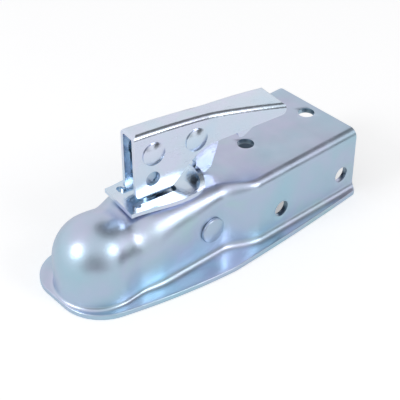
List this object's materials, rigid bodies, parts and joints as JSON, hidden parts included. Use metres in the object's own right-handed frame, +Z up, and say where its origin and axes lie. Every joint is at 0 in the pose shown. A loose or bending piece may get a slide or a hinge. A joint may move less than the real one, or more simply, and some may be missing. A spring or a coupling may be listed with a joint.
{
  "type": "trailer coupling head",
  "caption": "Pressed steel trailer coupling head: domed ball socket running into a bolt-on channel, with a lever latch, hooked trigger, seat plate, stem and sprung ball clamp",
  "frame": {"origin": "centre of the ball in the socket", "axes": "+X rearward along the tongue, +Y to the far side, +Z up"},
  "size_m": [0.2473, 0.1068, 0.1119],
  "materials": {
    "zinc_satin": "satin blue-white zinc plating",
    "zinc_bright": "bright blue-white zinc plating",
    "spring_steel": "satin"
  },
  "bodies": {
    "housing": {"housing": "zinc_satin", "cross_pin": "zinc_satin", "pin_spacers": "zinc_satin", "roof_washer": "zinc_satin", "clamp_spring": "spring_steel"},
    "latch_seat": {"latch_seat": "zinc_bright"},
    "stem": {"stem": "zinc_satin", "lock_nut": "zinc_satin", "nut_washer": "zinc_satin", "eye_washers": "zinc_satin"},
    "lever": {"lever": "zinc_bright", "lever_rivet": "zinc_bright", "trigger_rivet": "zinc_bright", "trigger_spring": "spring_steel", "trigger_washer": "zinc_bright"},
    "trigger": {"trigger": "zinc_bright"},
    "clamp": {"ball_clamp": "zinc_satin", "spring_seat": "zinc_satin"}
  },
  "joints": [
    {"name": "latch_swivel", "type": "hinge", "parent": "housing", "child": "latch_seat", "pos_m": [0.0466, 0, 0.03], "axis": [0, 0, 1], "range_deg": [-4, 18]},
    {"name": "stem_drop", "type": "slide", "parent": "latch_seat", "child": "stem", "axis": [0, 0, -1], "range_m": [0, 0.0075], "deforming": ["clamp_spring"]},
    {"name": "lever_lift", "type": "hinge", "parent": "stem", "child": "lever", "pos_m": [0.0466, 0, 0.068], "axis": [-0.1219, -0.9925, 0], "range_deg": [0, 90]},
    {"name": "clamp_swing", "type": "hinge", "parent": "housing", "child": "clamp", "pos_m": [0.0765, 0, 0.0015], "axis": [0, -1, 0], "range_deg": [0, 10.6]},
    {"name": "trigger_squeeze", "type": "hinge", "parent": "lever", "child": "trigger", "pos_m": [0.08074, -0.00419, 0.0662], "axis": [-0.1219, -0.9925, 0], "range_deg": [0, 12], "stiffness_Nm_per_rad": 0.05, "springref_deg": -17.19}
  ],
  "couplings": [
    {"joint": "stem_drop", "follows": "lever_lift", "m_per_rad": 0.004711},
    {"joint": "clamp_swing", "follows": "lever_lift", "ratio": 0.11667}
  ]
}
